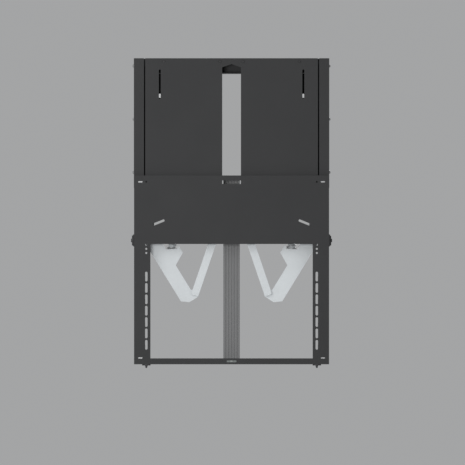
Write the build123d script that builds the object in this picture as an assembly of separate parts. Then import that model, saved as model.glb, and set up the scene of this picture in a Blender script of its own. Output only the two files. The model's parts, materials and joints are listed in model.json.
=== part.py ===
from build123d import *
import math
import os

# A wall mount for a large flat screen. A fixed steel frame with two side rails stands on the wall.
# A carriage slides up it by hand, and two sprung rocker arms with links carry the screen's weight.
# Units are millimetres. X runs to the right seen from the front, Y into the wall and Z up.
# The origin is on the wall, at the centre of the four wall bolts.

# Fixed frame
frame_height = 1077.2
plate_half_width = 342.5
back_sheet = 2.0
wall_bolt_x = 200.0
wall_bolt_inset = 10.1
wall_bolt_hole = 9.0
wall_bar_height = 19.0
wall_bar_flange = 25.0
wall_bar_flange_gap = 36.0
cable_slot_half_width = 33.0
back_plate_rise = 125.7
back_slot_gap = 5.0
top_channel_height = 54.0
top_channel_sheet = 2.0
tool_notch_half_width = 9.0

# Side rails, channels that open towards the middle
rail_width = 30.5
rail_depth = 66.0
rail_wall = 2.5

# Front cover over the mechanism and the trim over each rail
cover_front = 79.5
cover_sheet = 1.5
cover_height = 456.9
cover_gap = 1.0
cover_return = 9.0
cable_slot_shoulder = 32.1
cable_slot_peak = 20.6
cover_notch_half_width = 4.0
cover_notch_depth = 5.0
cover_post_gap = 2.0
cover_post_rise = 13.3
cover_post_radius = 5.0
trim_sheet = 1.5
trim_gap = 0.5
pointer_slot_inset = 51.4
pointer_slot_width = 7.0
pointer_slot_length = 103.0
pointer_slot_drop = 39.6
cover_screw_radius = 5.0
cover_screw_head = 2.0
cover_screw_shank = 2.0
cover_screw_inset = 65.5
cover_screw_inner_x = 40.7
cover_screw_drop = 11.6
trim_screw_radius = 5.0
trim_screw_head = 5.0
trim_screw_shank = 2.5
trim_screw_depth = 24.0
trim_screw_drop = 26.1
trim_screw_pitch = 187.5
screw_fit = 0.05

# Centre column, a ribbed hollow section on the wall
column_half_width = 29.0
column_depth = 25.0
column_wall = 2.5
column_drop = 8.7
column_grooves = 5
column_groove_pitch = 10.0
column_groove_width = 2.4
column_groove_depth = 0.9
column_cap = 3.0

# Carriage that holds the screen
travel = 400.0
top_clearance = 12.9
carriage_front = 104.0
carriage_depth = 22.0
carriage_sheet = 3.0
carriage_overhang = 0.5
window_inset = 57.5
window_drop = 241.2
window_sill = 20.8
window_flange = 15.0
carrier_slot_height = 12.0
carrier_slot_drop = 17.7
tie_slot_inset = 86.6
tie_slot_drop = 165.5
tie_slot_length = 44.0
tie_slot_width = 8.0
tie_slot_angle = 21.9
screen_slot_inset = 43.0
screen_slot_width = 9.0
screen_slot_length = 34.0
screen_slot_pitch = 40.0
screen_slot_count = 7
screen_slot_drop = 355.7
screen_hole_width = 7.0
screen_hole_pitch = 14.5
screen_hole_count = 3
screen_hole_drop = 243.7
top_hole_width = 6.0
end_slot_side_inset = 22.0
end_slot_length = 15.5
end_slot_width = 4.5
end_slot_inset = 22.4
end_plate_width = 24.0
end_plate_height = 14.0
end_plate_sheet = 2.5

# Level tube set in the bottom bar
level_length = 35.0
level_width = 7.0
level_depth = 9.0
level_fit = 0.05

# Slide plates and glides that guide the carriage in the rails
slide_rail_gap = 4.0
slide_sheet = 3.0
slide_wall_gap = 8.6
slide_rise = 15.0
glide_length = 50.0
glide_fit = 0.4
glide_end_inset = 6.0
glide_screw_head = 5.0
glide_screw_height = 2.4

# Rubber stops that the slide plates rest on
stop_depth = 30.0
stop_half_width = 5.0
stop_sheet = 3.0
stop_foot_width = 25.0

# Rocker arms, measured from the pivot along the arm and across it
pivot_inset = 27.0
pivot_drop = 199.4
rocker_lean = 31.6
rocker_back = 41.0
rocker_depth = 12.0
rocker_sheet = 3.0
rocker_wall = 2.5
rocker_reach = 282.0
rocker_outer_edge = 37.2
rocker_inner_edge = 14.0
rocker_shoulder = 28.0
pivot_boss_radius = 17.0
foot_heel = 263.4
foot_toe_along = 296.2
foot_toe_across = -5.5
foot_side_along = 288.6
foot_side_across = -20.0
foot_edge = 32.4
foot_edge_end = 273.8
foot_edge_start = 252.7
foot_step = 247.3
ear_reach = 59.0
ear_start = 80.0
ear_notch_along = 98.0
ear_notch_across = -48.1
ear_tip_start = 88.8
ear_tip_end = 120.7
ear_end = 145.8
ear_pin_radius = 5.0
ear_boss_radius = 9.0
pivot_pin_radius = 8.0
pivot_shoulder_radius = 12.0
pivot_head_radius = 12.0
pivot_head = 3.0
knee_reach = 159.2
knee_drop = 210.0
knee_boss_radius = 13.0
knee_plate = 0.7
running_fit = 0.06
face_gap = 0.3

# Strap that holds the rocker pivot on the back plate
strap_width = 34.0
strap_thickness = 6.0
strap_gap = 0.5
strap_overlap = 60.0
strap_tail = 34.3
strap_rivet_radius = 5.0
strap_rivet_head = 2.0
strap_rivet_pitch = 30.0

# Lift links between the rocker arms and the carriage
link_top_x = 18.0
link_top_drop = 91.8
link_width = 26.8
link_corner = 5.0
link_back = 54.0
link_depth = 8.0
link_sheet = 3.0
link_wall = 2.5
link_pin_radius = 5.0
link_pin_head_radius = 8.0
link_pin_head = 2.5

# Lift bracket that reaches back through the cable slot
bracket_half_width = 31.0
bracket_height = 44.0
bracket_back = 62.6
bracket_sheet = 4.0

# Balance springs between the rocker ears and the anchors
spring_offset = 74.0
ear_pin_drop = 82.3
anchor_drop = 133.6
anchor_half_width = 12.0
anchor_low = 13.0
anchor_high = 31.0
anchor_depth = 23.0
anchor_arm = 4.0
spring_centre = 22.5
spring_radius = 15.5
spring_wire = 5.0
spring_curls = 38
spring_lower_eye = 18.0
spring_upper_eye = 26.0
spring_plug_radius = 12.9
spring_plug_length = 26.0
spring_lug_thickness = 8.0
spring_lug_radius = 9.0
spring_cap = 4.0
seat_gap = 0.05
anchor_pin_radius = 5.0
anchor_fork_gap = 8.6
pointer_height = 14.0
pointer_fit = 0.3
spindle_radius = 5.0
spindle_head_radius = 8.0
spindle_head = 8.0
spindle_top_inset = 27.0

# Lock knobs on the carriage's sides and levelling screws under it
lug_gap = 0.5
lug_sheet = 2.0
lug_back = 45.0
lug_height = 42.0
lug_foot_depth = 16.0
knob_depth = 63.0
knob_radius = 18.0
knob_thickness = 4.0
knob_tip_radius = 6.5
knob_tip = 3.4
knob_shank_radius = 4.0
knob_drop = 228.7
knob_flutes = 12
flute_radius = 2.2
leveller_depth = 88.5
leveller_radius = 15.0
leveller_thickness = 4.0
leveller_tip_radius = 5.0
leveller_tip = 9.0
leveller_shank_radius = 4.0
leveller_shank = 14.0

# Heights and widths that follow from the sizes above
frame_top = frame_height / 2
frame_bottom = -frame_height / 2
wall_bolt_z = frame_top - wall_bolt_inset
carriage_bottom = frame_bottom
carriage_top = frame_top - travel - top_clearance
carriage_back = carriage_front - carriage_depth
back_plate_low = carriage_top - back_plate_rise
column_top = carriage_top - column_drop
pivot_z = carriage_top - pivot_drop
knee_z = pivot_z - knee_drop
ear_pin_z = pivot_z - ear_pin_drop
link_top_z = carriage_top - link_top_drop
anchor_z = frame_top - anchor_drop
knob_z = carriage_top - knob_drop
rail_inner = plate_half_width - rail_width
slide_outer = rail_inner - slide_rail_gap
slide_inner = slide_outer - slide_sheet
cover_edge = slide_inner - cover_gap
trim_edge = slide_outer + trim_gap
trim_half_width = plate_half_width + trim_sheet
lug_inner = trim_half_width + lug_gap
carriage_half_width = plate_half_width + carriage_overhang
window_half_width = carriage_half_width - window_inset
tie_slot_x = carriage_half_width - tie_slot_inset
screen_slot_x = carriage_half_width - screen_slot_inset
end_slot_x = carriage_half_width - end_slot_side_inset
pivot_x = rail_inner - pivot_inset
knee_x = pivot_x - knee_reach
spring_x = pivot_x - spring_offset
pointer_slot_x = cover_edge - pointer_slot_inset
cover_screw_outer_x = cover_edge - cover_screw_inset
cover_post_x = slide_outer - strap_gap - strap_width - cover_post_gap - cover_post_radius


def block(x_low, x_high, front, back, z_low, z_high):
    """A box between two distances from the wall, both counted forwards."""
    size = (x_high - x_low, front - back, z_high - z_low)
    return Pos((x_low + x_high) / 2, -(front + back) / 2, (z_low + z_high) / 2) * Box(*size)


def rod_out(x, z, radius, front, back):
    """A round bar square to the wall."""
    return Pos(x, -(front + back) / 2, z) * Rot(90, 0, 0) * Cylinder(radius, front - back)


def rod_across(y, z, radius, x_low, x_high):
    return Pos((x_low + x_high) / 2, y, z) * Rot(0, 90, 0) * Cylinder(radius, x_high - x_low)


def rod_up(x, y, radius, z_low, z_high):
    return Pos(x, y, (z_low + z_high) / 2) * Cylinder(radius, z_high - z_low)


def slot_out(x, z, length, width, angle, front, back):
    """A round-ended slot cut square to the wall, its length at an angle from X."""
    plane = Plane(origin=(x, -back, z), x_dir=(1, 0, 0), z_dir=(0, -1, 0))
    return extrude(plane * (Rot(0, 0, angle) * SlotOverall(length, width)), front - back)


def save(name, piece):
    export_step(piece, f"parts/{name}.step")


def save_pair(name, right):
    """Writes a piece of the right side and its mirror on the left."""
    save(f"{name}_right", right)
    save(f"{name}_left", mirror(right, about=Plane.YZ))


def gather(*pieces):
    """Several separate solids in one node."""
    return Compound(children=[solid for piece in pieces for solid in piece.solids()])


# Fixed frame on the wall
def back_plate():
    plate = block(-plate_half_width, plate_half_width, back_sheet, 0, back_plate_low, frame_top)
    slot_low = carriage_top - carrier_slot_drop - carrier_slot_height - back_slot_gap
    slot_high = frame_top - top_channel_height
    plate -= block(-cable_slot_half_width, cable_slot_half_width, back_sheet, 0, slot_low, slot_high)
    for side in (-1, 1):
        plate -= rod_out(side * wall_bolt_x, wall_bolt_z, wall_bolt_hole / 2, back_sheet, 0)
    return plate


def wall_cross_bar():
    """An angle along the bottom, its flange under the column."""
    high = frame_bottom + wall_bar_height
    bar = block(-plate_half_width, plate_half_width, back_sheet, 0, frame_bottom, high)
    half = rail_inner - wall_bar_flange_gap
    bar += block(-half, half, back_sheet + wall_bar_flange, 0, frame_bottom, frame_bottom + back_sheet)
    for side in (-1, 1):
        bar -= rod_out(side * wall_bolt_x, -wall_bolt_z, wall_bolt_hole / 2, back_sheet, 0)
    return bar


def cable_opening(low, front, back):
    """The tall opening with a pointed top, as a solid to cut away."""
    shoulder = frame_top - cable_slot_shoulder
    outline = Polyline(
        (-cable_slot_half_width, low),
        (-cable_slot_half_width, shoulder),
        (0, frame_top - cable_slot_peak),
        (cable_slot_half_width, shoulder),
        (cable_slot_half_width, low),
        close=True,
    )
    plane = Plane(origin=(0, -back, 0), x_dir=(1, 0, 0), z_dir=(0, -1, 0))
    return extrude(plane * make_face(outline), front - back)


def pointer_slot(side, front, back):
    """The upright slot that a pointer shows in, as a solid to cut away."""
    z = frame_top - pointer_slot_drop - pointer_slot_length / 2
    return slot_out(side * pointer_slot_x, z, pointer_slot_length, pointer_slot_width, 90, front, back)


def top_channel():
    """An angle under the top edge: a front wall and a floor that holds the spindles."""
    low = frame_top - top_channel_height
    high = frame_top - cover_sheet - face_gap
    front = cover_front - cover_sheet
    wall_back = front - top_channel_sheet
    wall = block(-cover_edge, cover_edge, front, wall_back, low, high)
    floor = block(-cover_edge, cover_edge, front, back_sheet, low, low + top_channel_sheet)
    channel = wall + floor
    channel -= cable_opening(low + top_channel_sheet, front, wall_back)
    for side in (-1, 1):
        channel -= pointer_slot(side, front, wall_back)
        channel -= rod_up(side * spring_x, -spring_centre, spindle_radius + running_fit, low, high)
        bolt = side * wall_bolt_x
        half = tool_notch_half_width
        channel -= block(bolt - half, bolt + half, front, wall_back, wall_bolt_z - half, high)
        for x in (cover_screw_inner_x, cover_screw_outer_x):
            z = frame_top - cover_screw_drop
            channel -= rod_out(side * x, z, cover_screw_shank + screw_fit, front, wall_back)
    return channel


def rail():
    outer = plate_half_width
    inner = outer - rail_width
    front = back_sheet + rail_depth
    body = block(inner, outer, front, back_sheet, frame_bottom, frame_top)
    body -= block(inner, outer - rail_wall, front - rail_wall, back_sheet + rail_wall, frame_bottom, frame_top)
    for step in range(3):
        z = frame_top - trim_screw_drop - step * trim_screw_pitch
        body -= rod_across(-trim_screw_depth, z, trim_screw_shank + screw_fit, outer - rail_wall, outer)
    return body


def side_trim():
    low = frame_top - cover_height
    side = block(trim_half_width - trim_sheet, trim_half_width, cover_front, back_sheet, low, frame_top)
    face = block(trim_edge, trim_half_width, cover_front, cover_front - trim_sheet, low, frame_top)
    trim = side + face
    for step in range(3):
        z = frame_top - trim_screw_drop - step * trim_screw_pitch
        trim -= rod_across(
            -trim_screw_depth, z, trim_screw_shank + screw_fit, trim_half_width - trim_sheet, trim_half_width
        )
    return trim


def trim_screws():
    screws = []
    for step in range(3):
        z = frame_top - trim_screw_drop - step * trim_screw_pitch
        start = plate_half_width - rail_wall
        shank = rod_across(-trim_screw_depth, z, trim_screw_shank, start, trim_half_width)
        head = rod_across(-trim_screw_depth, z, trim_screw_radius, trim_half_width, trim_half_width + trim_screw_head)
        head = fillet(head.edges().group_by(Axis.X)[-1], trim_screw_head * 0.6)
        end = trim_half_width + trim_screw_head
        socket = rod_across(-trim_screw_depth, z, trim_screw_shank, end - trim_screw_head / 2, end)
        screws.append(shank + head - socket)
    return gather(*screws)


def cover_panel():
    low = frame_top - cover_height
    back = cover_front - cover_sheet
    panel = block(-cover_edge, cover_edge, cover_front, back, low, frame_top)
    panel += block(-cover_edge, cover_edge, cover_front, back_sheet, frame_top - cover_sheet, frame_top)
    lip_top = frame_top - top_channel_height - face_gap
    for side in (-1, 1):
        edges = (side * cable_slot_half_width, side * (cable_slot_half_width + cover_sheet))
        panel += block(min(edges), max(edges), cover_front, back - cover_return, low, lip_top)
    panel -= cable_opening(low, cover_front, back)
    notch = Polyline(
        (-cover_notch_half_width, frame_top),
        (0, frame_top - cover_notch_depth),
        (cover_notch_half_width, frame_top),
        close=True,
    )
    plane = Plane(origin=(0, -back, 0), x_dir=(1, 0, 0), z_dir=(0, -1, 0))
    panel -= extrude(plane * make_face(notch), cover_sheet)
    for side in (-1, 1):
        panel -= pointer_slot(side, cover_front, back)
        for x in (cover_screw_inner_x, cover_screw_outer_x):
            z = frame_top - cover_screw_drop
            panel -= rod_out(side * x, z, cover_screw_shank + screw_fit, cover_front, back)
    return panel


def cover_post():
    z = frame_top - cover_height + cover_post_rise
    return rod_out(cover_post_x, z, cover_post_radius, cover_front - cover_sheet, back_sheet)


def cover_screws():
    screws = []
    z = frame_top - cover_screw_drop
    for x in (-cover_screw_outer_x, -cover_screw_inner_x, cover_screw_inner_x, cover_screw_outer_x):
        end = cover_front + cover_screw_head
        head = rod_out(x, z, cover_screw_radius, end, cover_front)
        head = fillet(head.edges().group_by(Axis.Y)[0], cover_screw_head * 0.6)
        shank = rod_out(x, z, cover_screw_shank, cover_front, cover_front - cover_sheet - top_channel_sheet - 2)
        socket = rod_out(x, z, cover_screw_shank, end, end - cover_screw_head / 2)
        screws.append(head + shank - socket)
    return gather(*screws)


def centre_column():
    front = back_sheet + column_depth
    low = frame_bottom + back_sheet
    inside = column_half_width - column_wall
    body = block(-column_half_width, column_half_width, front, back_sheet, low, column_top)
    body -= block(-inside, inside, front - column_wall, back_sheet + column_wall, low, column_top)
    for number in range(column_grooves):
        x = (number - (column_grooves - 1) / 2) * column_groove_pitch
        half = column_groove_width / 2
        body -= block(x - half, x + half, front, front - column_groove_depth, low, column_top)
    return body


def column_end_cap():
    front = back_sheet + column_depth
    cap = block(-column_half_width, column_half_width, front, back_sheet, column_top, column_top + column_cap)
    return fillet(cap.edges().group_by(Axis.Z)[-1], column_cap / 3)


def stop_bracket():
    """A small angle on the cross bar that carries a rubber stop."""
    middle = slide_inner + slide_sheet / 2
    outer = middle + stop_half_width
    inner = outer - stop_foot_width
    front = back_sheet + stop_depth
    bracket = block(inner, outer, front, back_sheet, frame_bottom, frame_bottom + stop_sheet)
    high = frame_bottom + wall_bar_height
    return bracket + block(inner, outer, back_sheet + stop_sheet, back_sheet, frame_bottom, high)


def stop_pad():
    middle = slide_inner + slide_sheet / 2
    low = frame_bottom + stop_sheet
    high = carriage_bottom + slide_rise - face_gap
    front = back_sheet + stop_depth
    back = back_sheet + 2 * stop_sheet
    return block(middle - stop_half_width, middle + stop_half_width, front, back, low, high)


# Pivots of the rocker arms
def pivot_strap():
    outer = slide_outer - strap_gap
    inner = outer - strap_width
    front = back_sheet + strap_thickness
    high = back_plate_low + strap_overlap
    strap = block(inner, outer, front, back_sheet, pivot_z - strap_tail, high)
    strap = fillet(strap.edges().filter_by(Axis.Y).group_by(Axis.Z)[0], strap_width / 4)
    return strap - rod_out(pivot_x, pivot_z, pivot_pin_radius, front, back_sheet)


def strap_rivets():
    middle = slide_outer - strap_gap - strap_width / 2
    front = back_sheet + strap_thickness
    rivets = []
    for number in range(2):
        z = back_plate_low + strap_rivet_pitch * (number + 0.5)
        head = rod_out(middle, z, strap_rivet_radius, front + strap_rivet_head, front)
        rivets.append(fillet(head.edges().group_by(Axis.Y)[0], strap_rivet_head * 0.6))
    return gather(*rivets)


def pivot_pin():
    foot = back_sheet
    seat = back_sheet + strap_thickness
    rocker_front = rocker_back + rocker_depth
    pin = rod_out(pivot_x, pivot_z, pivot_pin_radius, rocker_front + face_gap, foot)
    pin += rod_out(pivot_x, pivot_z, pivot_shoulder_radius, rocker_back - face_gap, seat)
    head_start = rocker_front + face_gap
    head = rod_out(pivot_x, pivot_z, pivot_head_radius, head_start + pivot_head, head_start)
    return pin + fillet(head.edges().group_by(Axis.Y)[0], pivot_head / 3)


# Rocker arm, a pressed steel lever with walls that point to the wall
def rocker_plane(back):
    lean = math.radians(rocker_lean)
    along = (-math.sin(lean), 0, -math.cos(lean))
    return Plane(origin=(pivot_x, -back, pivot_z), x_dir=along, z_dir=(0, -1, 0))


def rocker_outline():
    corners = [
        (0, pivot_boss_radius),
        (rocker_shoulder, rocker_outer_edge),
        (foot_heel, rocker_outer_edge),
        (foot_toe_along, foot_toe_across),
        (foot_side_along, foot_side_across),
        (foot_edge_end, -foot_edge),
        (foot_edge_start, -foot_edge),
        (foot_step, -rocker_inner_edge),
        (ear_end, -rocker_inner_edge),
        (ear_tip_end, -ear_reach),
        (ear_tip_start, -ear_reach),
        (ear_notch_along, ear_notch_across),
        (ear_start, -rocker_inner_edge),
        (0, -pivot_boss_radius),
    ]
    lever = make_face(Polyline(*corners, close=True))
    lever += Circle(pivot_boss_radius)
    return lever & Circle(rocker_reach)


def rocker_arm():
    """A pan with its walls to the wall, tubes for the pins and a raised face at the knee."""
    front = rocker_back + rocker_depth
    outline = rocker_outline()
    body = extrude(rocker_plane(rocker_back) * outline, rocker_depth)
    hollow = offset(outline, -rocker_wall, kind=Kind.INTERSECTION)
    body -= extrude(rocker_plane(rocker_back) * hollow, rocker_depth - rocker_sheet)
    body += rod_out(pivot_x, pivot_z, pivot_boss_radius, front, rocker_back)
    body += rod_out(spring_x, ear_pin_z, ear_boss_radius, front, rocker_back)
    body += rod_out(knee_x, knee_z, knee_boss_radius, front + knee_plate, rocker_back)
    body -= rod_out(spring_x, ear_pin_z, ear_pin_radius, front - rocker_sheet, rocker_back)
    return body - rod_out(pivot_x, pivot_z, pivot_pin_radius + running_fit, front, rocker_back)


def ear_pin():
    """The pin on the rocker's ear that the spring pulls on."""
    end = spring_centre - spring_lug_thickness / 2 - face_gap
    washer = ear_pin_radius + 3
    pin = rod_out(spring_x, ear_pin_z, ear_pin_radius, rocker_back + rocker_depth - rocker_sheet, end)
    pin += rod_out(spring_x, ear_pin_z, washer, end, end - 2)
    collar_back = spring_centre + spring_lug_thickness / 2 + face_gap
    return pin + rod_out(spring_x, ear_pin_z, washer, rocker_back, collar_back)


# Lift link, a straight pressed steel bar
def link_plane(back):
    along = (knee_x - link_top_x, 0, knee_z - link_top_z)
    return Plane(origin=(link_top_x, -back, link_top_z), x_dir=along, z_dir=(0, -1, 0))


def lift_link():
    length = math.hypot(knee_x - link_top_x, knee_z - link_top_z)
    inside_width = link_width - 2 * link_wall
    outline = Pos(length / 2, 0) * RectangleRounded(length + link_width, link_width, link_corner)
    inside = Pos(length / 2, 0) * RectangleRounded(
        length + inside_width, inside_width, link_corner - link_wall
    )
    link = extrude(link_plane(link_back) * outline, link_depth)
    link -= extrude(link_plane(link_back) * inside, link_depth - link_sheet)
    front = link_back + link_depth
    for x, z in ((link_top_x, link_top_z), (knee_x, knee_z)):
        link += rod_out(x, z, link_pin_radius + 3, front, link_back)
    link -= rod_out(link_top_x, link_top_z, link_pin_radius + running_fit, front, link_back)
    return link - rod_out(knee_x, knee_z, link_pin_radius, front - link_sheet, link_back)


def knee_pin():
    """The stub in the link's lower end, flush with the back of the link."""
    return rod_out(knee_x, knee_z, link_pin_radius, link_back + link_depth - link_sheet, link_back)


def lift_bracket():
    """A channel behind the carrier plate, with its floor turned to the links."""
    low = link_top_z - bracket_height / 2
    high = link_top_z + bracket_height / 2
    back_of_carrier = carriage_front - carriage_sheet
    body = block(-bracket_half_width, bracket_half_width, back_of_carrier, bracket_back, low, high)
    inside = bracket_half_width - bracket_sheet
    body -= block(-inside, inside, back_of_carrier, bracket_back + bracket_sheet, low, high)
    for side in (-1, 1):
        body -= rod_out(
            side * link_top_x, link_top_z, link_pin_radius, bracket_back + bracket_sheet, bracket_back
        )
    return body


def link_pin():
    front = bracket_back + bracket_sheet
    pin = rod_out(link_top_x, link_top_z, link_pin_radius, front, link_back - face_gap)
    end = link_back - face_gap
    return pin + rod_out(link_top_x, link_top_z, link_pin_head_radius, end, end - link_pin_head)


# Balance spring, swept on pairs of arcs that follow the helix
def helix_point(angle, pitch):
    return Vector(
        spring_radius * math.cos(angle), spring_radius * math.sin(angle), pitch * angle / (2 * math.pi)
    )


def helix_heading(angle, pitch):
    rise = pitch / (2 * math.pi)
    return Vector(-spring_radius * math.sin(angle), spring_radius * math.cos(angle), rise).normalized()


def arc_pair(start, heading, end, end_heading):
    """Two arcs that meet smoothly between two points with given headings."""
    chord = end - start
    both = heading + end_heading
    square = 4 - both.dot(both)
    half = chord.dot(both)
    reach = (-half + math.sqrt(half * half + square * chord.dot(chord))) / square
    middle = (start + heading * reach + end - end_heading * reach) * 0.5
    first = Edge.make_tangent_arc(start, heading, middle)
    second = Edge.make_tangent_arc(middle, first % 1, end)
    return [first, second]


def spring_coil(length):
    pitch = length / spring_curls
    step = math.pi / 2
    edges = []
    for number in range(spring_curls * 4):
        here, there = number * step, (number + 1) * step
        edges += arc_pair(
            helix_point(here, pitch), helix_heading(here, pitch), helix_point(there, pitch), helix_heading(there, pitch)
        )
    path = Wire(edges)
    start = Plane(origin=path @ 0, z_dir=path % 0)
    print("spring pitch", round(pitch, 2), "least gap between curls", round(pitch - spring_wire, 2))
    return sweep(start * Circle(spring_wire / 2), path=path)


def spring_end(z, sign, eye_length):
    """A threaded plug in the coil's end, its cap and the lug that takes a pin."""
    inner = z + sign * eye_length
    low, high = sorted((inner, inner - sign * spring_cap))
    cap = rod_up(0, 0, spring_radius + spring_wire / 2, low, high)
    low, high = sorted((inner, inner + sign * spring_plug_length))
    plug = rod_up(0, 0, spring_plug_radius, low, high)
    low, high = sorted((z, inner - sign * spring_cap))
    half = spring_lug_thickness / 2
    lug = Pos(0, 0, (low + high) / 2) * Box(2 * spring_lug_radius, 2 * half, high - low)
    eye = Pos(0, 0, z) * Rot(90, 0, 0) * Cylinder(spring_lug_radius, 2 * half)
    bore = Pos(0, 0, z) * Rot(90, 0, 0) * Cylinder(ear_pin_radius + running_fit, 2 * half)
    return cap + plug + lug + eye - bore


def balance_spring():
    """The spring hangs from the anchor pin and ends at the rocker's ear pin."""
    reach = anchor_z - ear_pin_z
    low = spring_lower_eye + spring_wire / 2 + seat_gap
    high = reach - spring_upper_eye - spring_wire / 2 - seat_gap
    coil = Pos(0, 0, low) * spring_coil(high - low)
    lower = spring_end(0, 1, spring_lower_eye)
    upper = spring_end(reach, -1, spring_upper_eye)
    place = Pos(spring_x, -spring_centre, ear_pin_z)
    return gather(place * coil, place * lower, place * upper)


def anchor_block():
    """A forked nut on the spindle, with an arm and a pointer that shows in the cover's slot."""
    low = anchor_z - anchor_low
    high = anchor_z + anchor_high
    fork_top = anchor_z + spring_lug_radius + 1
    front = spring_centre + anchor_depth / 2
    back = spring_centre - anchor_depth / 2
    inner = spring_x - anchor_half_width
    outer = spring_x + anchor_half_width
    fork_front = spring_centre + anchor_fork_gap / 2
    fork_back = spring_centre - anchor_fork_gap / 2
    body = block(inner, outer, front, back, low, high)
    body -= block(inner, outer, fork_front, fork_back, low, fork_top)
    body -= rod_out(spring_x, anchor_z, anchor_pin_radius, front, back)
    body -= rod_up(spring_x, -spring_centre, spindle_radius, fork_top, high)
    pointer_half = pointer_slot_width / 2 - pointer_fit
    pointer_low = frame_top - pointer_slot_drop - pointer_slot_length + pointer_slot_width / 2
    pointer_high = pointer_low + pointer_height
    pointer_outer = pointer_slot_x + pointer_half
    tip = cover_front - cover_sheet / 2
    body += block(outer, pointer_outer, front, front - anchor_arm, pointer_low, pointer_high)
    body += block(pointer_slot_x - pointer_half, pointer_outer, tip, front, pointer_low, pointer_high)
    return body


def anchor_pin():
    front = spring_centre + anchor_depth / 2
    back = spring_centre - anchor_depth / 2
    return rod_out(spring_x, anchor_z, anchor_pin_radius, front, back)


def spindle():
    low = anchor_z + spring_lug_radius + 1
    high = frame_top - spindle_top_inset
    floor = frame_top - top_channel_height + top_channel_sheet
    body = rod_up(spring_x, -spring_centre, spindle_radius, low, high)
    body += rod_up(spring_x, -spring_centre, spindle_head_radius, floor, floor + spindle_head)
    hexagon = Pos(spring_x, -spring_centre, high) * RegularPolygon(spindle_radius * 0.7, 6)
    return body - extrude(hexagon, -spindle_head)


# Carriage
def hollow_to_wall(half, low, high, depth):
    """A tray of sheet with its open side towards the wall."""
    sheet = carriage_sheet
    front = carriage_front
    tray = block(-half, half, front, front - depth, low, high)
    inside = half - sheet
    return tray - block(-inside, inside, front - sheet, front - depth, low + sheet, high - sheet)


def carrier_frame():
    """One folded sheet: a tray round the edge and a flanged window under the middle."""
    half = window_half_width
    sheet = carriage_sheet
    window_low = carriage_bottom + window_sill
    window_high = carriage_top - window_drop
    frame = hollow_to_wall(carriage_half_width, carriage_bottom, carriage_top, carriage_depth)
    rim = block(
        -half - sheet, half + sheet, carriage_front, carriage_front - window_flange,
        window_low - sheet, window_high + sheet,
    )
    frame += rim
    frame -= block(-half, half, carriage_front, carriage_back, window_low, window_high)
    front = carriage_front
    inside = carriage_front - sheet
    slot_high = carriage_top - carrier_slot_drop
    slot_low = slot_high - carrier_slot_height
    frame -= block(-cable_slot_half_width, cable_slot_half_width, front, inside, slot_low, slot_high)
    for side in (-1, 1):
        tie_z = carriage_top - tie_slot_drop
        frame -= slot_out(
            side * tie_slot_x, tie_z, tie_slot_length, tie_slot_width, -side * tie_slot_angle, front, inside
        )
        x = side * screen_slot_x
        for number in range(screen_slot_count):
            z = carriage_top - screen_slot_drop - number * screen_slot_pitch
            frame -= slot_out(x, z, screen_slot_length, screen_slot_width, 90, front, inside)
        for number in range(screen_hole_count):
            z = carriage_top - screen_hole_drop - number * screen_hole_pitch
            frame -= rod_out(x, z, screen_hole_width / 2, front, inside)
        frame -= rod_out(x, carriage_top - end_slot_inset, top_hole_width / 2, front, inside)
        for z in (carriage_top - end_slot_inset, carriage_bottom + end_slot_inset):
            frame -= slot_out(side * end_slot_x, z, end_slot_length, end_slot_width, 0, front, inside)
        leveller_hole = leveller_shank_radius + running_fit
        frame -= rod_up(x, -leveller_depth, leveller_hole, carriage_bottom, carriage_bottom + sheet)
    z = carriage_bottom + window_sill / 2
    return frame - slot_out(0, z, level_length, level_width, 0, front, inside)


def end_plates():
    """Plated nut plates behind the slots at both ends of the side channel."""
    front = carriage_front - carriage_sheet
    plates = []
    for z in (carriage_top - end_slot_inset, carriage_bottom + end_slot_inset):
        half_width = end_plate_width / 2
        half_height = end_plate_height / 2
        plates.append(
            block(
                end_slot_x - half_width,
                end_slot_x + half_width,
                front,
                front - end_plate_sheet,
                z - half_height,
                z + half_height,
            )
        )
    return gather(*plates)


def level_tube():
    z = carriage_bottom + window_sill / 2
    length = level_length - 2 * level_fit
    width = level_width - 2 * level_fit
    return slot_out(0, z, length, width, 0, carriage_front - 0.5, carriage_front - level_depth)


def slide_plate():
    return block(
        slide_inner,
        slide_outer,
        carriage_front - carriage_sheet,
        slide_wall_gap,
        carriage_bottom + slide_rise,
        carriage_top - carriage_sheet,
    )


def glide_heights():
    inset = glide_end_inset + glide_length / 2
    return (carriage_top - inset, carriage_bottom + slide_rise + inset)


def glides():
    inner = slide_outer
    outer = plate_half_width - rail_wall - glide_fit
    front = back_sheet + rail_depth - rail_wall - glide_fit
    back = back_sheet + rail_wall + glide_fit
    half = glide_length / 2
    blocks = []
    for z in glide_heights():
        shoe = block(inner, outer, front, back, z - half, z + half)
        blocks.append(chamfer(shoe.edges().filter_by(Axis.X), 2))
    return gather(*blocks)


def glide_screws():
    depth = back_sheet + rail_depth / 2
    screws = []
    for z in glide_heights():
        head = rod_across(-depth, z, glide_screw_head, slide_inner - glide_screw_height, slide_inner)
        screws.append(fillet(head.edges().group_by(Axis.X)[0], glide_screw_height / 2))
    return gather(*screws)


# Hand screws
def fluted(radius, thickness, bottom):
    """A round grip along Z with flutes round its edge."""
    grip = Pos(0, 0, bottom) * Cylinder(radius, thickness, align=(Align.CENTER, Align.CENTER, Align.MIN))
    for number in range(knob_flutes):
        turn = Rot(0, 0, number * 360 / knob_flutes)
        flute = Cylinder(flute_radius, thickness, align=(Align.CENTER, Align.CENTER, Align.MIN))
        grip -= turn * Pos(radius + flute_radius * 0.5, 0, bottom) * flute
    return grip


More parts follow.
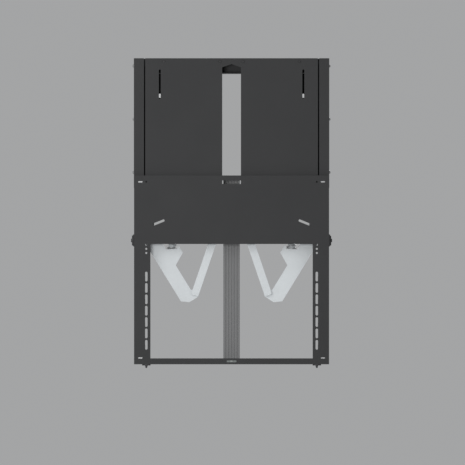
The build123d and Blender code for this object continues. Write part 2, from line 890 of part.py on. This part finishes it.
def lock_lug():
    """A plate outside the rail, welded to the carriage's edge on a foot."""
    low = knob_z - lug_height / 2
    high = knob_z + lug_height / 2
    front = carriage_front - carriage_sheet
    lug = block(lug_inner, lug_inner + lug_sheet, front, lug_back, low, high)
    lug += block(carriage_half_width, lug_inner, front, front - lug_foot_depth, low, high)
    hole = knob_shank_radius + running_fit
    return lug - rod_across(-knob_depth, knob_z, hole, lug_inner, lug_inner + lug_sheet)


def lock_knob():
    start = lug_inner + lug_sheet + face_gap
    shank = rod_up(0, 0, knob_shank_radius, lug_inner - start, 0)
    grip = fluted(knob_radius, knob_thickness, 0)
    tip = rod_up(0, 0, knob_tip_radius, knob_thickness, knob_thickness + knob_tip)
    tip = chamfer(tip.edges().group_by(Axis.Z)[-1], knob_tip / 4)
    return Pos(start, -knob_depth, knob_z) * Rot(0, 90, 0) * (shank + grip + tip)


def levelling_screw():
    grip = fluted(leveller_radius, leveller_thickness, -leveller_thickness)
    tip = Cone(leveller_tip_radius / 2, leveller_tip_radius, leveller_tip)
    tip = Pos(0, 0, -leveller_thickness - leveller_tip / 2) * tip
    shank = rod_up(0, 0, leveller_shank_radius, 0, leveller_shank)
    return Pos(screen_slot_x, -leveller_depth, carriage_bottom - face_gap) * (grip + tip + shank)


def main():
    os.makedirs("parts", exist_ok=True)
    save("back_plate", back_plate())
    save("wall_cross_bar", wall_cross_bar())
    save("top_channel", top_channel())
    save_pair("rail", rail())
    save_pair("side_trim", side_trim())
    save_pair("trim_screws", trim_screws())
    save("cover_panel", cover_panel())
    save("cover_screws", cover_screws())
    save_pair("cover_post", cover_post())
    save_pair("stop_bracket", stop_bracket())
    save_pair("stop_pad", stop_pad())
    save("centre_column", centre_column())
    save("column_end_cap", column_end_cap())
    save_pair("pivot_strap", pivot_strap())
    save_pair("strap_rivets", strap_rivets())
    save_pair("pivot_pin", pivot_pin())
    save_pair("rocker_arm", rocker_arm())
    save_pair("ear_pin", ear_pin())
    save_pair("lift_link", lift_link())
    save_pair("knee_pin", knee_pin())
    save("lift_bracket", lift_bracket())
    save_pair("link_pin", link_pin())
    save_pair("balance_spring", balance_spring())
    save_pair("anchor_block", anchor_block())
    save_pair("anchor_pin", anchor_pin())
    save_pair("spindle", spindle())
    save("carrier_frame", carrier_frame())
    save_pair("end_plates", end_plates())
    save("level_tube", level_tube())
    save_pair("slide_plate", slide_plate())
    save_pair("glides", glides())
    save_pair("glide_screws", glide_screws())
    save_pair("lock_lug", lock_lug())
    save_pair("lock_knob", lock_knob())
    save_pair("levelling_screw", levelling_screw())


main()
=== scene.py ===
"""Looks of the screen wall mount: finishes, wound springs, welds and the level's bubble."""

import json
import math

import bmesh
import bpy
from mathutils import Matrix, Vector


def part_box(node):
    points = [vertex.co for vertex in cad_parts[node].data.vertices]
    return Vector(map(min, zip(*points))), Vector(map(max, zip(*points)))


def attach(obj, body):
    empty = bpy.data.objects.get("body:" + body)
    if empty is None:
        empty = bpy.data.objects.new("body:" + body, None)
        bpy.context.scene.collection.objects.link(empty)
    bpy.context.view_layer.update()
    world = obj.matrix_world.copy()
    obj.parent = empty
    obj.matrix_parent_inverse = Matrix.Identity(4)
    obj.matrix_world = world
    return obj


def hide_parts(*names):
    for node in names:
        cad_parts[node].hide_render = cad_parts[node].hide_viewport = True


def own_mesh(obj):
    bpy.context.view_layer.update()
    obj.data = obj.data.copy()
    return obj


MM = 0.001
SIDES = (("left", -1), ("right", 1))

# Camera: straight in front of the mount, far away, framed as in the photograph
FRAME_WIDTH = 1636.8 * MM
FRAME_CENTRE = Vector((3.3 * MM, -85 * MM, -75 * MM))
LENS = 600
SENSOR = 36
CAMERA_DISTANCE = FRAME_WIDTH * LENS / SENSOR

# Floor and light
FLOOR_HEIGHT = -1.3
FLOOR_SIZE = 9.0
SKY = (0.37, 0.374, 0.378)

# Balance springs, from the anchor pins down to the rocker ears
SPRING_X = 211 * MM
SPRING_Y = -22.5 * MM
SPRING_LOW = -156 * MM
SPRING_HIGH = 405 * MM
SPRING_RADIUS = 15.5 * MM
WIRE_RADIUS = 2.5 * MM
SPRING_CURLS = 38
CURL_STEPS = 28
WIRE_SIDES = 10
LOWER_EYE = 18 * MM
UPPER_EYE = 26 * MM
CLOSED_SHARE = 0.035
CAP_THICKNESS = 4 * MM
PLUG_RADIUS = 12.9 * MM
PLUG_LENGTH = 26 * MM
LUG_RADIUS = 9 * MM
LUG_HALF = 4 * MM
CAP_EDGE = 0.6 * MM
PLUG_THREADS = 5
THREAD_DEPTH = 1.6 * MM
EYE_STEPS = 36

# Welds
RIPPLE_PITCH = 2.2 * MM
RIPPLE_STEP = 0.9 * MM
SLIDE_WELDS = 8
SLIDE_WELD_LENGTH = 30 * MM
SLIDE_WELD_SIZE = 1.6 * MM
LUG_EDGE = 343 * MM
LUG_WELD_START = 1 * MM
LUG_WELD_END = 15 * MM
LUG_WELD_SIZE = 1.2 * MM
BRACKET_WELD_INSET = 4 * MM
BRACKET_WELD_SIZE = 1.6 * MM
POST_WELD_RADIUS = 5 * MM
POST_WELD_SIZE = 0.9 * MM
POST_WELD_LIFT = 0.4 * MM
POST_WELD_STEPS = 40

# Level
BUBBLE_LENGTH = 9 * MM
BUBBLE_RADIUS = 1.9 * MM
BUBBLE_FLATTENING = 0.5
BUBBLE_DEPTH = 0.3 * MM
BUBBLE_RISE = 0.6 * MM
BUBBLE_TIP = 0.02 * MM
LEVEL_LINE_OFFSETS = (("level_line_left", -5.5 * MM), ("level_line_right", 5.5 * MM))
LEVEL_LINE_HALF = 0.25 * MM
LEVEL_LINE_DEPTH = 0.3 * MM
LEVEL_LINE_BOW = 0.12 * MM
LEVEL_LINE_SHARE = 0.9


class Shade:
    """A shader socket that can be used in Python expressions."""

    def __init__(self, finish, socket):
        self.finish = finish
        self.socket = socket

    def maths(self, operation, first, second):
        return self.finish.node("ShaderNodeMath", {"operation": operation}, {0: first, 1: second})

    def __add__(self, other):
        return self.maths("ADD", self, other)

    def __radd__(self, other):
        return self.maths("ADD", other, self)

    def __sub__(self, other):
        return self.maths("SUBTRACT", self, other)

    def __rsub__(self, other):
        return self.maths("SUBTRACT", other, self)

    def __mul__(self, other):
        return self.maths("MULTIPLY", self, other)

    def __rmul__(self, other):
        return self.maths("MULTIPLY", other, self)


class Finish:
    """One material and the nodes in it."""

    def __init__(self, name):
        self.material = bpy.data.materials.new(name)
        self.material.use_nodes = True
        self.tree = self.material.node_tree
        self.tree.nodes.clear()
        coordinates = self.tree.nodes.new("ShaderNodeTexCoord")
        self.place = Shade(self, coordinates.outputs["Object"])

    def node(self, kind, settings, sockets, output=0):
        """Makes a node, sets it up, feeds its sockets and hands back one output."""
        made = self.tree.nodes.new(kind)
        for key, value in settings.items():
            if key == "stops":
                self.set_stops(made.color_ramp, value)
            else:
                setattr(made, key, value)
        for key, value in sockets.items():
            if isinstance(value, Shade):
                self.tree.links.new(value.socket, made.inputs[key])
            else:
                made.inputs[key].default_value = value
        return Shade(self, made.outputs[output])

    @staticmethod
    def set_stops(ramp, stops):
        for place, grey in stops[2:]:
            ramp.elements.new(place)
        for element, (place, grey) in zip(ramp.elements, sorted(stops)):
            element.position = place
            element.color = (grey, grey, grey, 1)

    def noise(self, scale, detail=2.0, stretch=(1, 1, 1)):
        place = self.place
        if stretch != (1, 1, 1):
            place = self.node("ShaderNodeVectorMath", {"operation": "MULTIPLY"}, {0: place, 1: stretch})
        return self.node("ShaderNodeTexNoise", {}, {"Vector": place, "Scale": scale, "Detail": detail})

    def ramp(self, factor, low, high):
        """Turns a value into 0 below low and 1 above high."""
        stops = [(low, 0.0), (high, 1.0)]
        return self.node("ShaderNodeValToRGB", {"stops": stops}, {"Fac": factor})

    def mix(self, factor, first, second):
        settings = {"data_type": "RGBA"}
        sockets = {"Factor": factor, 6: first, 7: second}
        return self.node("ShaderNodeMix", settings, sockets, output=2)

    def bump(self, height, distance, strength=1.0, normal=None):
        sockets = {"Height": height, "Distance": distance, "Strength": strength}
        if normal is not None:
            sockets["Normal"] = normal
        return self.node("ShaderNodeBump", {}, sockets)

    def edge(self, radius):
        """How much a point lies on a sharp edge, 0 on a flat face."""
        rounded = self.node("ShaderNodeBevel", {"samples": 4}, {"Radius": radius})
        flat = self.node("ShaderNodeNewGeometry", {}, {}, output="Normal")
        settings = {"operation": "DOT_PRODUCT"}
        along = self.node("ShaderNodeVectorMath", settings, {0: rounded, 1: flat}, output="Value")
        return self.ramp(1 - along, 0.01, 0.12)

    def close(self, sockets):
        """Ends the material in one shader with these sockets."""
        shader = self.node("ShaderNodeBsdfPrincipled", {}, sockets, output="BSDF")
        output = self.tree.nodes.new("ShaderNodeOutputMaterial")
        self.tree.links.new(shader.socket, output.inputs["Surface"])
        return self.material


def colour(red, green, blue):
    return (red, green, blue, 1)


def shaded(tint, share):
    """The same colour, darker or lighter."""
    return [part * share for part in tint[:3]] + [1]


# Finishes
def powder_coat(name, body, worn, roughness, peel=1.0):
    """A baked powder coat: fine orange peel, faint cloudiness and edges rubbed lighter."""
    finish = Finish(name)
    clouds = finish.noise(7, 3)
    speckle = finish.noise(1400, 1)
    grain = finish.noise(520, 2)
    rubs = finish.noise(60, 4)
    edges = finish.edge(0.0012) * finish.ramp(rubs, 0.42, 0.62)
    cloudy = finish.mix(clouds, shaded(body, 0.9), shaded(body, 1.1))
    dusty = finish.mix(finish.ramp(speckle, 0.62, 0.74) * 0.25, cloudy, worn)
    base = finish.mix(edges * 0.45, dusty, worn)
    rough = roughness + (clouds - 0.5) * 0.12 + (grain - 0.5) * 0.1
    normal = finish.bump(grain + speckle * 0.4, 0.00009 * peel)
    return finish.close({"Base Color": base, "Roughness": rough, "Normal": normal, "Specular IOR Level": 0.2})


def zinc_plate(name, tint, roughness):
    """Bright zinc over steel, with soft cloudy grains and drawn scratches."""
    finish = Finish(name)
    clouds = finish.noise(90, 3)
    sockets = {"Vector": finish.place, "Scale": 420.0}
    spangle = finish.node("ShaderNodeTexVoronoi", {"feature": "F1"}, sockets, output="Distance")
    scratches = finish.noise(260, 2, (1, 1, 9))
    base = finish.mix(clouds * 0.7 + spangle * 0.3, shaded(tint, 0.82), tint)
    rough = roughness + (clouds - 0.5) * 0.14 + scratches * 0.06
    normal = finish.bump(scratches + spangle * 0.3, 0.00003)
    return finish.close({"Base Color": base, "Roughness": rough, "Metallic": 0.7, "Normal": normal})


def drawn_aluminium(name, tint, roughness):
    """Anodised section with die lines along its length."""
    finish = Finish(name)
    lines = finish.noise(900, 2, (1, 1, 0.004))
    wide_lines = finish.noise(160, 1, (1, 1, 0.01))
    clouds = finish.noise(10, 2)
    streaks = lines * 0.35 + wide_lines * 0.15 + clouds * 0.5
    base = finish.mix(streaks, shaded(tint, 0.86), tint)
    rough = roughness + (lines - 0.5) * 0.15
    normal = finish.bump(lines + wide_lines * 0.3, 0.000012)
    return finish.close({"Base Color": base, "Roughness": rough, "Metallic": 0.3, "Normal": normal})


def oiled_wire(name, tint):
    """Drawn spring wire, with oil in uneven patches."""
    finish = Finish(name)
    oil = finish.noise(140, 3)
    drawn = finish.noise(700, 2, (1, 1, 6))
    base = finish.mix(oil, shaded(tint, 0.6), tint)
    rough = 0.28 + oil * 0.2
    normal = finish.bump(drawn, 0.00002)
    return finish.close({"Base Color": base, "Roughness": rough, "Metallic": 0.4, "Normal": normal})


def moulded_plastic(name, tint, roughness, grain_depth):
    """Moulded plastic with a spark-eroded grain."""
    finish = Finish(name)
    grain = finish.noise(1800, 3)
    clouds = finish.noise(30, 2)
    base = finish.mix(clouds, tint, shaded(tint, 1.18))
    rough = roughness + (grain - 0.5) * 0.15
    return finish.close({"Base Color": base, "Roughness": rough, "Normal": finish.bump(grain, grain_depth)})


def rubber_pad(name):
    """Dull black rubber with a little dust."""
    finish = Finish(name)
    grain = finish.noise(900, 3)
    dust = finish.ramp(finish.noise(120, 4), 0.5, 0.8)
    base = finish.mix(dust * 0.3, colour(0.018, 0.018, 0.018), colour(0.09, 0.088, 0.084))
    rough = 0.8 + (grain - 0.5) * 0.2
    return finish.close({"Base Color": base, "Roughness": rough, "Normal": finish.bump(grain, 0.0001)})


def vial_plastic(name):
    """Clear plastic over a pale level fluid."""
    finish = Finish(name)
    swirl = finish.noise(160, 1)
    base = finish.mix(swirl, colour(0.13, 0.145, 0.14), colour(0.17, 0.185, 0.178))
    return finish.close({"Base Color": base, "Roughness": 0.08 + swirl * 0.05, "Coat Weight": 0.6})


def weld_metal(name, tint):
    """A weld under the same coat as the sheets, rounder and a little shinier."""
    finish = Finish(name)
    grain = finish.noise(520, 2)
    clouds = finish.noise(200, 2)
    base = finish.mix(clouds, tint, shaded(tint, 1.3))
    rough = 0.42 + (grain - 0.5) * 0.15
    return finish.close({"Base Color": base, "Roughness": rough, "Normal": finish.bump(grain, 0.00008)})


CHARCOAL = colour(0.026, 0.0265, 0.0275)
CHARCOAL_WORN = colour(0.085, 0.087, 0.09)
PALE_GREY = colour(0.60, 0.63, 0.645)
PALE_WORN = colour(0.75, 0.77, 0.78)

finishes = {
    "dark_coated_steel": powder_coat("charcoal_powder_coat", CHARCOAL, CHARCOAL_WORN, 0.52),
    "pale_coated_steel": powder_coat("pale_arm_coat", PALE_GREY, PALE_WORN, 0.42, 0.6),
    "zinc_steel": zinc_plate("bright_zinc", colour(0.34, 0.343, 0.347), 0.45),
    "black_screw": powder_coat("black_screw_coat", colour(0.018, 0.018, 0.019), CHARCOAL_WORN, 0.38),
    "grey_aluminium": drawn_aluminium("column_aluminium", colour(0.125, 0.126, 0.128), 0.48),
    "grey_plastic": moulded_plastic("column_cap_plastic", colour(0.11, 0.11, 0.115), 0.5, 0.00005),
    "spring_steel": oiled_wire("oiled_spring_wire", colour(0.58, 0.59, 0.6)),
    "glide_plastic": moulded_plastic("glide_white", colour(0.7, 0.7, 0.67), 0.36, 0.00002),
    "rubber": rubber_pad("stop_rubber"),
    "level_glass": vial_plastic("level_vial"),
    "black_plastic": moulded_plastic("knob_black", colour(0.035, 0.035, 0.037), 0.46, 0.00006),
}
weld_finish = weld_metal("coated_weld", CHARCOAL)
bubble_finish = moulded_plastic("vial_bubble_light", colour(0.3, 0.32, 0.3), 0.2, 0.00001)
line_finish = moulded_plastic("vial_line_black", colour(0.02, 0.02, 0.02), 0.4, 0.00001)


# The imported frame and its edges
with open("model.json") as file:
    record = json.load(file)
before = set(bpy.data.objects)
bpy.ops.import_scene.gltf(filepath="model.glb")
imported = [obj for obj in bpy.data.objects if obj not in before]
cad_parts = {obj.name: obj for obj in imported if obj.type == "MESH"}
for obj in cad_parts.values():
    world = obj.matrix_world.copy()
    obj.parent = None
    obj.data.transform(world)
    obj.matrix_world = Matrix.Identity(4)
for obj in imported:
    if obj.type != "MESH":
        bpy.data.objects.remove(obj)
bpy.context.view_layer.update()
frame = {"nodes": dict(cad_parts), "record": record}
slot_of = {part["node"]: part["material_slot"] for part in frame["record"]["subparts"]}

SOFT_EDGES = {
    "carrier_frame": 0.9,
    "cover_panel": 0.45,
    "side_trim": 0.45,
    "back_plate": 0.6,
    "wall_cross_bar": 0.6,
    "top_channel": 0.6,
    "rail": 0.7,
    "slide_plate": 0.8,
    "lock_lug": 0.6,
    "lift_bracket": 0.9,
    "rocker_arm": 2.2,
    "lift_link": 1.4,
    "pivot_strap": 1.0,
    "centre_column": 0.5,
    "stop_bracket": 0.6,
    "anchor_block": 0.8,
    "stop_pad": 1.2,
    "lock_knob": 0.5,
    "levelling_screw": 0.5,
    "glides": 0.6,
}


def family(node):
    return node.removesuffix("_left").removesuffix("_right")


def round_edges(obj, radius):
    """Rounds the sharp edges of a CAD node with modifiers, leaving its own mesh as it is."""
    weld = obj.modifiers.new("join_faces", "WELD")
    weld.merge_threshold = 0.00001
    flat = obj.modifiers.new("flat_faces", "DECIMATE")
    flat.decimate_type = "DISSOLVE"
    flat.angle_limit = math.radians(0.5)
    bevel = obj.modifiers.new("soft_edges", "BEVEL")
    bevel.width = radius * MM
    bevel.segments = 3
    bevel.limit_method = "ANGLE"
    bevel.angle_limit = math.radians(50)
    bevel.harden_normals = True


for node, obj in frame["nodes"].items():
    obj.data.materials.clear()
    obj.data.materials.append(finishes[slot_of[node]])
    if family(node) in SOFT_EDGES:
        round_edges(obj, SOFT_EDGES[family(node)])


# Building pieces
def piece_from(name, mesh, finish, smooth=True, second_finish=None):
    data = bpy.data.meshes.new(name)
    mesh.to_mesh(data)
    mesh.free()
    for face in data.polygons:
        face.use_smooth = smooth
    data.materials.append(finish)
    if second_finish:
        data.materials.append(second_finish)
    obj = bpy.data.objects.new(name, data)
    bpy.context.scene.collection.objects.link(obj)
    return obj


def add_piece(name, mesh, finish, body, smooth=True, second_finish=None):
    """Makes a piece of the mesh that rides on a body of the frame."""
    bmesh.ops.recalc_face_normals(mesh, faces=mesh.faces)
    obj = piece_from(name, mesh, finish, smooth, second_finish)
    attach(obj, body)
    return obj


def around(count):
    """Cosine and sine at even steps round a circle."""
    angles = [2 * math.pi * number / count for number in range(count)]
    return [(math.cos(angle), math.sin(angle)) for angle in angles]


def tube(mesh, rings, closed_ends=True):
    """Joins rings of points, all of one count, into a tube."""
    rows = [[mesh.verts.new(point) for point in ring] for ring in rings]
    count = len(rows[0])
    for lower, upper in zip(rows, rows[1:]):
        for number in range(count):
            after = (number + 1) % count
            mesh.faces.new((lower[number], lower[after], upper[after], upper[number]))
    if closed_ends:
        mesh.faces.new(list(reversed(rows[0])))
        mesh.faces.new(rows[-1])


def turned(mesh, centre, profile, steps=40):
    """A turned form about an upright axis, from pairs of radius and height."""
    x, y = centre
    rings = []
    for radius, height in profile:
        rings.append([(x + radius * cos, y + radius * sin, height) for cos, sin in around(steps)])
    tube(mesh, rings)


# Springs
def coil_rise(share):
    """Height along the coil, from 0 to 1, with closed curls at both ends."""
    open_share = 1 - 2 * CLOSED_SHARE
    flat = 2 * WIRE_RADIUS * 1.04 * SPRING_CURLS * CLOSED_SHARE
    length = SPRING_HIGH - UPPER_EYE - SPRING_LOW - LOWER_EYE - 2 * WIRE_RADIUS
    step = flat / length
    if share < CLOSED_SHARE:
        return step * share / CLOSED_SHARE
    if share > 1 - CLOSED_SHARE:
        return 1 - step * (1 - share) / CLOSED_SHARE
    return step + (1 - 2 * step) * (share - CLOSED_SHARE) / open_share


def wind_coil(mesh, centre_x, turn):
    """The wire of one spring, wound to the right or left."""
    low = SPRING_LOW + LOWER_EYE + WIRE_RADIUS
    high = SPRING_HIGH - UPPER_EYE - WIRE_RADIUS
    steps = SPRING_CURLS * CURL_STEPS
    slope_step = 0.001
    forward = 2 * slope_step * 2 * math.pi * SPRING_CURLS * SPRING_RADIUS
    rings = []
    for number in range(steps + 1):
        share = number / steps
        angle = turn * 2 * math.pi * SPRING_CURLS * share
        out = Vector((math.cos(angle), math.sin(angle), 0))
        across = Vector((-math.sin(angle), math.cos(angle), 0)) * turn
        rise = coil_rise(min(share + slope_step, 1)) - coil_rise(max(share - slope_step, 0))
        heading = across * forward + Vector((0, 0, rise * (high - low)))
        up = heading.normalized().cross(out).normalized()
        height = low + coil_rise(share) * (high - low)
        middle = Vector((centre_x, SPRING_Y, height)) + out * SPRING_RADIUS
        wire = [(WIRE_RADIUS * cos, WIRE_RADIUS * sin) for cos, sin in around(WIRE_SIDES)]
        rings.append([middle + out * outward + up * upward for outward, upward in wire])
    tube(mesh, rings)


def spring_fitting(mesh, centre_x, pin_z, seat_z, sign):
    """The turned cap, its threaded plug and the flat eye that takes the pin."""
    outer = SPRING_RADIUS + WIRE_RADIUS
    back = seat_z - sign * CAP_THICKNESS
    profile = [
        (LUG_HALF, back),
        (outer - CAP_EDGE, back),
        (outer, back + sign * CAP_EDGE),
        (outer, seat_z - sign * CAP_EDGE),
        (outer - CAP_EDGE, seat_z),
    ]
    pitch = PLUG_LENGTH / PLUG_THREADS / 2
    for number in range(PLUG_THREADS):
        start = seat_z + sign * 2 * pitch * number
        profile.append((PLUG_RADIUS - THREAD_DEPTH, start + sign * 0.2 * pitch))
        profile.append((PLUG_RADIUS, start + sign * pitch))
        profile.append((PLUG_RADIUS - THREAD_DEPTH, start + sign * 1.8 * pitch))
    turned(mesh, (centre_x, SPRING_Y), profile)
    rings = []
    for depth in (-LUG_HALF, LUG_HALF):
        y = SPRING_Y + depth
        ring = []
        for number in range(EYE_STEPS):
            angle = math.pi * number / (EYE_STEPS - 1)
            x = centre_x + LUG_RADIUS * math.cos(angle)
            ring.append((x, y, pin_z - sign * LUG_RADIUS * math.sin(angle)))
        ring.append((centre_x - LUG_RADIUS, y, back))
        ring.append((centre_x + LUG_RADIUS, y, back))
        rings.append(ring)
    tube(mesh, rings)


def add_spring(side, sign):
    mesh = bmesh.new()
    wind_coil(mesh, sign * SPRING_X, sign)
    wire_faces = len(mesh.faces)
    spring_fitting(mesh, sign * SPRING_X, SPRING_LOW, SPRING_LOW + LOWER_EYE, 1)
    spring_fitting(mesh, sign * SPRING_X, SPRING_HIGH, SPRING_HIGH - UPPER_EYE, -1)
    mesh.faces.ensure_lookup_table()
    for face in mesh.faces[wire_faces:]:
        face.material_index = 1
    wire, caps = finishes["spring_steel"], finishes["pale_coated_steel"]
    name = f"wound_spring_{side}"
    spring = add_piece(name, mesh, wire, "wall_frame", second_finish=caps)
    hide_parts(f"balance_spring_{side}")
    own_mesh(spring)


# Welds
def weld_bead(name, start, end, toward, width):
    """A rippled bead along an inside corner of the carriage; toward points out of the corner."""
    start, end, toward = Vector(start), Vector(end), Vector(toward).normalized()
    length = (end - start).length
    along = (end - start).normalized()
    across = along.cross(toward)
    steps = max(12, int(length / RIPPLE_STEP))
    mesh = bmesh.new()
    rings = []
    for number in range(steps + 1):
        share = number / steps
        taper = min(1, 6 * share + 0.25, 6 * (1 - share) + 0.25)
        ripple = 1 + 0.1 * math.sin(share * length / RIPPLE_PITCH * 2 * math.pi)
        size = width * taper * ripple
        middle = start + along * (length * share)
        rings.append([middle + across * size * cos + toward * 0.7 * size * sin for cos, sin in around(8)])
    tube(mesh, rings)
    add_piece(name, mesh, weld_finish, "carriage")


def add_slide_welds(side, sign):
    low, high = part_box(f"slide_plate_{side}")
    inner = low.x if sign > 0 else high.x
    half = SLIDE_WELD_LENGTH / 2
    for number in range(SLIDE_WELDS):
        z = low.z + (high.z - low.z) * (number + 0.5) / SLIDE_WELDS
        start, end = (inner, low.y, z - half), (inner, low.y, z + half)
        weld_bead(f"slide_weld_{side}_{number + 1}", start, end, (-sign, 1, 0), SLIDE_WELD_SIZE)


def add_lug_welds(side, sign):
    low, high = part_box(f"lock_lug_{side}")
    x = sign * LUG_EDGE
    for number, z, upward in ((1, low.z, -1), (2, high.z, 1)):
        start, end = (x, low.y + LUG_WELD_START, z), (x, low.y + LUG_WELD_END, z)
        weld_bead(f"lug_weld_{side}_{number}", start, end, (sign, 0, upward), LUG_WELD_SIZE)


def add_bracket_weld(side, sign):
    low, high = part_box("lift_bracket")
    x = high.x if sign > 0 else low.x
    start = (x, low.y, low.z + BRACKET_WELD_INSET)
    end = (x, low.y, high.z - BRACKET_WELD_INSET)
    weld_bead(f"bracket_weld_{side}", start, end, (sign, 1, 0), BRACKET_WELD_SIZE)


def add_post_weld(side):
    """A bead round the foot of a cover post."""
    low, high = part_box(f"cover_post_{side}")
    centre = Vector(((low.x + high.x) / 2, high.y - POST_WELD_LIFT, (low.z + high.z) / 2))
    rings = []
    turns = around(POST_WELD_STEPS)
    for cos, sin in turns + turns[:1]:
        out = Vector((cos, 0, sin))
        middle = centre + out * POST_WELD_RADIUS
        bead = [(POST_WELD_SIZE * c, -POST_WELD_SIZE * s) for c, s in around(6)]
        rings.append([middle + out * outward + Vector((0, forward, 0)) for outward, forward in bead])
    mesh = bmesh.new()
    tube(mesh, rings, closed_ends=False)
    add_piece(f"post_weld_{side}", mesh, weld_finish, "wall_frame")


# The level's bubble and its two lines
def add_bubble():
    low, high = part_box("level_tube")
    middle = (low + high) / 2
    rings = []
    for number in range(17):
        angle = math.pi * number / 16
        radius = max(BUBBLE_TIP, BUBBLE_RADIUS * math.sin(angle))
        x = middle.x - math.cos(angle) * BUBBLE_LENGTH / 2
        y = low.y + BUBBLE_DEPTH
        z = middle.z + BUBBLE_RISE
        rings.append([(x, y + radius * BUBBLE_FLATTENING * cos, z + radius * sin) for cos, sin in around(20)])
    mesh = bmesh.new()
    tube(mesh, rings)
    add_piece("level_bubble", mesh, bubble_finish, "carriage")


def add_level_line(name, offset):
    low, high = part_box("level_tube")
    middle = (low + high) / 2
    left = middle.x + offset - LEVEL_LINE_HALF
    right = middle.x + offset + LEVEL_LINE_HALF
    back = low.y + LEVEL_LINE_DEPTH
    rings = []
    for number in range(9):
        share = number / 8 - 0.5
        z = middle.z + share * (high.z - low.z) * LEVEL_LINE_SHARE
        front = low.y - LEVEL_LINE_BOW * math.cos(share * math.pi)
        rings.append([(left, front, z), (right, front, z), (right, back, z), (left, back, z)])
    mesh = bmesh.new()
    tube(mesh, rings)
    add_piece(name, mesh, line_finish, "carriage", smooth=False)


for side, sign in SIDES:
    add_spring(side, sign)
for side, sign in SIDES:
    add_slide_welds(side, sign)
    add_lug_welds(side, sign)
    add_bracket_weld(side, sign)
    add_post_weld(side)
add_bubble()
for name, offset in LEVEL_LINE_OFFSETS:
    add_level_line(name, offset)


# Floor, light and camera
def add_floor():
    mesh = bmesh.new()
    bmesh.ops.create_circle(mesh, cap_ends=True, segments=96, radius=FLOOR_SIZE / 2)
    finish = Finish("pale_floor")
    tone = finish.mix(finish.noise(0.8, 2), colour(0.6, 0.6, 0.605), colour(0.64, 0.64, 0.645))
    material = finish.close({"Base Color": tone, "Roughness": 0.8})
    floor = piece_from("floor", mesh, material, smooth=False)
    floor.location = (0, 0, FLOOR_HEIGHT)


def soft_light(name, place, aim, size, power):
    data = bpy.data.lights.new(name, "AREA")
    data.shape = "RECTANGLE"
    data.size, data.size_y = size
    data.energy = power
    obj = bpy.data.objects.new(name, data)
    obj.location = place
    obj.rotation_euler = (Vector(aim) - Vector(place)).to_track_quat("-Z", "Y").to_euler()
    bpy.context.scene.collection.objects.link(obj)


def add_world():
    world = bpy.data.worlds.new("pale_studio")
    world.use_nodes = True
    background = world.node_tree.nodes["Background"]
    background.inputs["Color"].default_value = (*SKY, 1)
    background.inputs["Strength"].default_value = 1.0
    bpy.context.scene.world = world
    bpy.context.scene.view_settings.view_transform = "Standard"


def add_camera():
    data = bpy.data.cameras.new("front_camera")
    data.lens = LENS
    data.sensor_width = SENSOR
    data.clip_end = 60
    camera = bpy.data.objects.new("front_camera", data)
    camera.location = FRAME_CENTRE + Vector((0, -CAMERA_DISTANCE, 0))
    camera.rotation_euler = (math.pi / 2, 0, 0)
    bpy.context.scene.collection.objects.link(camera)
    bpy.context.scene.camera = camera


add_floor()
soft_light("front_light", (-1.2, -6.3, 0.15), (0, 0, 0), (1.6, 1.2), 156)
soft_light("key_light", (-2.6, -3.4, 1.9), (0, 0, 0), (2.0, 2.0), 42)
soft_light("fill_light", (2.8, -3.2, 0.6), (0, 0, -0.1), (2.2, 2.2), 12)
soft_light("back_light", (0.8, 3.0, 2.2), (0, 0, 0), (2.6, 1.6), 80)
add_world()
add_camera()
